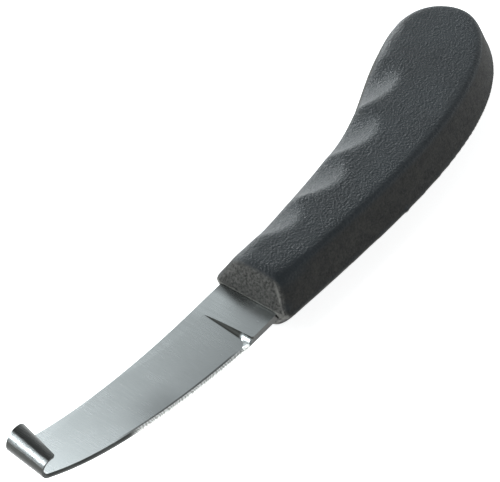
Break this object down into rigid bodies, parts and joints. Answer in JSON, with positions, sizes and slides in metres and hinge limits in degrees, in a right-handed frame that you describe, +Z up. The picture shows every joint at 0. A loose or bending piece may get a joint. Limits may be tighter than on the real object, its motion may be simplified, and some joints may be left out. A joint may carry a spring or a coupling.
{
  "type": "hoof knife",
  "caption": "Hoof-trimming knife: gently upswept satin blade ending in a rolled hook, moulded around by a curved black handle with finger scallops and a swollen butt.",
  "frame": {"origin": "centre of the bounding box in plan, on the plane the knife rests on", "axes": "+X from the butt towards the hook, +Y towards the ground cutting edge, +Z up, square to the flat face of the handle"},
  "size_m": [0.211, 0.0448, 0.0273],
  "materials": {
    "steel": "satin brushed stainless",
    "grip": "black, leather-grained moulding"
  },
  "bodies": {
    "root": {"blade": "steel", "handle": "grip"}
  },
  "joints": []
}
